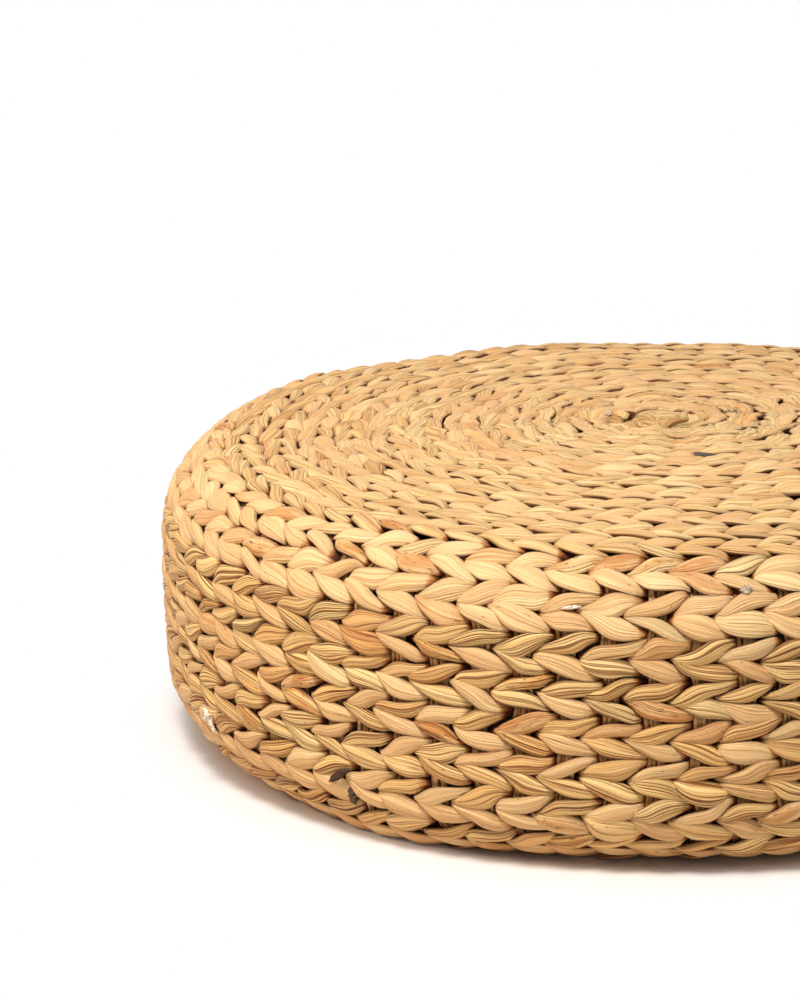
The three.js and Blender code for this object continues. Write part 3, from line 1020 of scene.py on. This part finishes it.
# What hangs loose in the photo, by the pixel where it is: its length and half width in mm, how
# it is turned from the row in degrees, how far out it lies in mm, and its tone
TORN_FIBRE = (570, 607)
STEM_END = (746, 588)
PAPERY_CRUMPLE = (206, 717)
PAPERY_FRAY = (211, 725)
DARK_HUSK = (339, 775)
DARK_TIP = (351, 797)
CROWN_TUFT = (608, 412)
GAP_SHADE_SCRAP = (566, 552)
CROWN_HUSK = (730, 410)
SCRAPS = (
    (TORN_FIBRE, 10, 1.1, 8, 5.4, 0.08),
    (STEM_END, 6, 2.9, 70, 5.7, 0.42),
    (PAPERY_CRUMPLE, 14, 2.6, -35, 6.8, 0.05),
    (PAPERY_CRUMPLE, 12, 1.0, 30, 7.4, 0.0),
    (PAPERY_FRAY, 11, 0.9, -75, 6.8, 0.05),
    (DARK_HUSK, 19, 1.6, 26, 6.2, 1.0),
    (DARK_TIP, 8, 2.3, -60, 5.0, 0.95),
    (CROWN_TUFT, 5, 0.7, 20, 5.8, 0.2),
    (CROWN_TUFT, 4, 0.5, 75, 6.2, 0.1),
    (CROWN_TUFT, 5, 0.5, -40, 6.0, 0.25),
    (CROWN_HUSK, 9, 3.2, 70, 5.4, 0.75),
    # set inside the weave behind a gap, which it closes: a dim stand-in for the shade the gap holds
    (GAP_SHADE_SCRAP, 12, 4.0, 0, -1.5, 0.5),
)
SCRAP_RINGS, SCRAP_SIDES = 14, 12
SCRAP_HALF_THICKNESS = 1.1


def place_of(pixel, lift):
    """Azimuth and distance down the section of the place on the wall that is seen at a pixel: of
    a fine grid's points that fall within a pixel and a half of it, the nearest to the camera."""
    azimuth = np.linspace(-math.pi - 0.3, 0.3, 900)[:, None]
    distance = np.linspace(10 * MM, FOOT_END, 700)[None]
    points = on_pouf(azimuth, distance, lift)
    off = np.linalg.norm(pixels_of(points) - pixel, axis=-1)
    away = np.linalg.norm(points - np.array(camera.matrix_world.translation), axis=-1)
    rank = np.where(off < 1.5, away, CAMERA_DISTANCE * off + 9)
    here, down = np.unravel_index(np.argmin(rank), rank.shape)
    return azimuth[here, 0], distance[0, down]


def make_scraps():
    """Crumpled strips: a lens outline along a short line on the wall, thin, with each point
    pushed about at random."""
    tubes = []
    draw = np.random.default_rng(77)
    share = np.linspace(-1, 1, SCRAP_RINGS)[:, None]
    outline = np.clip(1 - np.abs(share) ** 3, 0.15, 1)
    angle = round_angles(SCRAP_SIDES)[None]
    for pixel, length, half_width, turned, out, tone in SCRAPS:
        azimuth, distance = place_of(pixel, out * MM)
        crumple = 1 + draw.normal(0, 0.16, (SCRAP_RINGS, SCRAP_SIDES))
        along = share * length / 2 + draw.normal(0, 0.25, (SCRAP_RINGS, 1))
        across = half_width * np.cos(angle) * outline * crumple
        thick = SCRAP_HALF_THICKNESS * np.sin(angle) * outline * crumple
        lift = out + thick + draw.normal(0, 0.3, (SCRAP_RINGS, 1))
        heading = math.radians(turned)
        aside = along * math.cos(heading) + across * math.sin(heading)
        down = across * math.cos(heading) - along * math.sin(heading)
        grid = on_pouf(azimuth, distance + down * MM, lift * MM, aside * MM)
        tubes.append((grid, {"tone": tone}))
    piece = add_tubes("torn_scraps", tubes, LINING)


make_scraps()


# Border

BORDER_RADIUS = OVERALL_DIAMETER / 2 - FOOT_RADIUS - TURN_IN_WIDTH + BORDER_DIAMETER / 2
BORDER_HEIGHT = BORDER_DIAMETER / 2 + STAND_FLAT
PLY_COUNT = 3
PLY_RADIUS = 2.9 * MM
PLY_SIDES = 8
LAY_RADIUS = 2.8 * MM
LAY_TURNS = 48
ROPE_RINGS = 624
LOOPS_PER_STAKE = 2
LOOP_RADIUS = BORDER_DIAMETER / 2 + 0.6 * MM
LOOP_RINGS = 16
LOOP_SPACING = 3 * MM
LOOP_LEAN = 1.6 * MM
LOOP_CLEAR = 1.2 * MM
BINDING_RADIUS = 1.1 * MM


def round_axis(radius, angle, height):
    """Points at a radius, an angle and a height round the pouf's axis."""
    height = np.broadcast_to(height, np.shape(radius * angle))
    return np.stack([radius * np.cos(angle), radius * np.sin(angle), height], -1)


def make_rope():
    """Three plies laid round each other as a rope in a ring."""
    tubes = []
    angle = round_angles(ROPE_RINGS)
    for ply in range(PLY_COUNT):
        around = angle * LAY_TURNS + ply / PLY_COUNT * TURN
        path = round_axis(
            BORDER_RADIUS + LAY_RADIUS * np.cos(around), angle,
            BORDER_HEIGHT + LAY_RADIUS * np.sin(around),
        )
        length = angle * BORDER_RADIUS
        tubes.append((ring_round(path, PLY_RADIUS, PLY_SIDES), {
            "stem": pulled_straight(length, PLY_RADIUS, round_angles(PLY_SIDES)),
            "tone": (0.4 + 0.25 * wander(length, 80 * MM, 50 + ply))[:, None],
            "stain": 0.2,
            "streaky": 0.8,
        }))
    rope = add_tubes("border_rope", tubes, STEM, closed=True)
    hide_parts("mouth_border")


def make_binding():
    """Loops of cord round the rope at each stake. A loop leans over and back as it goes round,
    and is pressed flat under the rope."""
    tubes = []
    turn = round_angles(LOOP_RINGS)
    for stake in range(STAKE_COUNT):
        azimuth = STAKE_TURN + stake / STAKE_COUNT * TURN
        for loop in range(LOOPS_PER_STAKE):
            lean = (loop - 0.5) * LOOP_SPACING + LOOP_LEAN * np.sin(turn)
            path = round_axis(
                BORDER_RADIUS + LOOP_RADIUS * np.cos(turn), azimuth + lean / BORDER_RADIUS,
                np.maximum(BORDER_HEIGHT + LOOP_RADIUS * np.sin(turn), LOOP_CLEAR),
            )
            tubes.append((ring_round(path, BINDING_RADIUS, CORD_SIDES), {
                "stem": pulled_straight(turn * BORDER_DIAMETER / 2, MM, round_angles(CORD_SIDES)),
                "tone": cord_draw.uniform(0.2, 0.9),
            }))
    binding = add_tubes("border_binding", tubes, CORD, closed=True)
    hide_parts("mouth_border")


make_rope()
make_binding()


# Steel cage

HOOP_RINGS, HOOP_SIDES = 120, 14
RIB_RINGS, RIB_SIDES = 150, 12
RIB_START = CROWN_RING_DIAMETER / 2 + 3 * MM
MOUTH_HOOP_AT = SECTION_LENGTH - BORDER_DIAMETER / 2
BEAD_HEIGHT = 0.9 * MM
BEAD_LENGTH = 3.5 * MM


def make_cage():
    """Rings and ribs of round rod. A rib follows the section from the crown ring to the mouth
    hoop, and swells into a weld bead where it meets a hoop."""
    shoulder_middle = (DOME_END + SHOULDER_END) / 2
    foot_middle = (SIDE_END + FOOT_END) / 2
    half = WEAVE_THICKNESS / 2
    rings = (
        ("crown_ring", CROWN_RING_DIAMETER / 2, ROD_DEPTH, ROD_DIAMETER),
        ("shoulder_hoop", shoulder_middle, HOOP_DEPTH, HOOP_DIAMETER),
        ("base_hoop", foot_middle, HOOP_DEPTH, HOOP_DIAMETER),
        ("mouth_hoop", MOUTH_HOOP_AT, MOUTH_HOOP_DEPTH, HOOP_DIAMETER),
    )
    for node, distance, depth, diameter in rings:
        radius, height, slope = (float(v) for v in section_at(distance))
        lift = half - depth
        path = round_axis(
            radius + lift * math.sin(slope), round_angles(HOOP_RINGS),
            height + lift * math.cos(slope),
        )
        tube = ring_round(path, diameter / 2, HOOP_SIDES)
        piece = add_tubes(f"{node}_rod", [(tube, {})], STEEL, closed=True)
        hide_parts(node)
    distance = np.linspace(RIB_START, MOUTH_HOOP_AT - 3 * MM, RIB_RINGS)
    radius, height, slope = section_at(distance)
    lift = half - ROD_DEPTH
    bead = sum(
        np.exp(-((distance - weld) / BEAD_LENGTH) ** 2)
        for weld in (distance[0], shoulder_middle, foot_middle, distance[-1])
    )
    for rib in range(RIB_COUNT):
        azimuth = rib / RIB_COUNT * TURN
        path = round_axis(radius + lift * np.sin(slope), azimuth, height + lift * np.cos(slope))
        tube = tube_round(path, ROD_DIAMETER / 2 + BEAD_HEIGHT * bead, RIB_SIDES)
        piece = add_tubes(f"rib_{rib + 1}", [(tube, {})], STEEL)
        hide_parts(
            f"seat_spoke_{rib + 1}", f"side_upright_{rib + 1}", f"base_spoke_{rib + 1}"
        )


make_cage()


# Floor, light and background

FLOOR_HALF = 4.0
GLOW_START = 272 * MM
GLOW_END = 326 * MM
LAMP_AIM = Vector((0.0, 0.0, 0.1))
SURROUND_STRENGTH = 0.15

# Lamps: where each stands, how wide it is, its watts and its colour
LAMPS = (
    ("overhead_lamp", (-0.35, -1.0, 2.1), 0.6, 55.5, "#FFFFFF"),
    ("front_lamp", (0.6, -2.4, 0.9), 1.2, 3.5, "#FFFFFF"),
    ("left_lamp", (-1.8, -0.7, 1.3), 0.5, 15.5, "#FFE8CE"),
)


def seen_directly(tree):
    """1 where the lens, a reflection or a view through glass sees a background, and 0 where it
    only lights the pouf."""
    light = add_node(tree, "LightPath")
    seen = add_node(
        tree, "Math", {"operation": "ADD"},
        _0=light.outputs["Is Camera Ray"], _1=light.outputs["Is Glossy Ray"],
    )
    return add_node(
        tree, "Math", {"operation": "ADD", "use_clamp": True},
        _0=seen, _1=light.outputs["Is Transmission Ray"],
    )


def white_floor():
    """Matt white studio floor. The lens sees it glow to plain white away from the pouf, and near
    the pouf it is only lit, so it keeps the shadow."""
    material, tree = new_material("white_studio_floor")
    place = add_node(tree, "TexCoord").outputs["Object"]
    away = add_node(tree, "VectorMath", {"operation": "LENGTH"}, _0=place).outputs["Value"]
    glow = add_node(
        tree, "MapRange", {"interpolation_type": "SMOOTHSTEP"}, Value=away,
        From_Min=GLOW_START, From_Max=GLOW_END, To_Min=0.0, To_Max=1.0,
    )
    share = add_node(tree, "Math", {"operation": "MULTIPLY"}, _0=glow, _1=seen_directly(tree))
    matt = add_node(tree, "BsdfDiffuse", Color=rgb("#E6DCD2"))
    white = add_node(tree, "Emission", Color=rgb("#FFFFFF"), Strength=1.0)
    mixed = add_node(tree, "MixShader", _0=share, _1=matt, _2=white)
    add_node(tree, "OutputMaterial", Surface=mixed)
    return material


def make_floor():
    """The studio floor, a square round the pouf."""
    mesh = bpy.data.meshes.new("floor")
    corners = [(x * FLOOR_HALF, y * FLOOR_HALF, 0) for x, y in ((-1, -1), (1, -1), (1, 1), (-1, 1))]
    mesh.from_pydata(corners, [], [(0, 1, 2, 3)])
    mesh.materials.append(white_floor())
    floor = add_object("floor", mesh)


def make_lights():
    """A big soft lamp over and before the pouf, a weaker one low at the front, a warm one from
    the left, and an even pale surround that the lens sees as white."""
    for name, place, size, power, colour in LAMPS:
        data = bpy.data.lights.new(name, "AREA")
        data.shape = "SQUARE"
        data.size = size
        data.energy = power
        data.color = rgb(colour)[:3]
        lamp = add_object(name, data)
        lamp.location = place
        lamp.rotation_euler = (LAMP_AIM - Vector(place)).to_track_quat("-Z", "Y").to_euler()

    world = bpy.data.worlds.new("surround")
    world.use_nodes = True
    bpy.context.scene.world = world
    tree = world.node_tree
    tree.nodes.clear()
    even = add_node(tree, "Background", Color=rgb("#FFFFFF"), Strength=SURROUND_STRENGTH)
    white = add_node(tree, "Background", Color=rgb("#FFFFFF"), Strength=1.0)
    mixed = add_node(
        tree, "MixShader",
        _0=seen_directly(tree), _1=even, _2=white,
    )
    add_node(tree, "OutputWorld", Surface=mixed)


make_floor()
make_lights()

scene = bpy.context.scene
scene.view_settings.view_transform = "Standard"
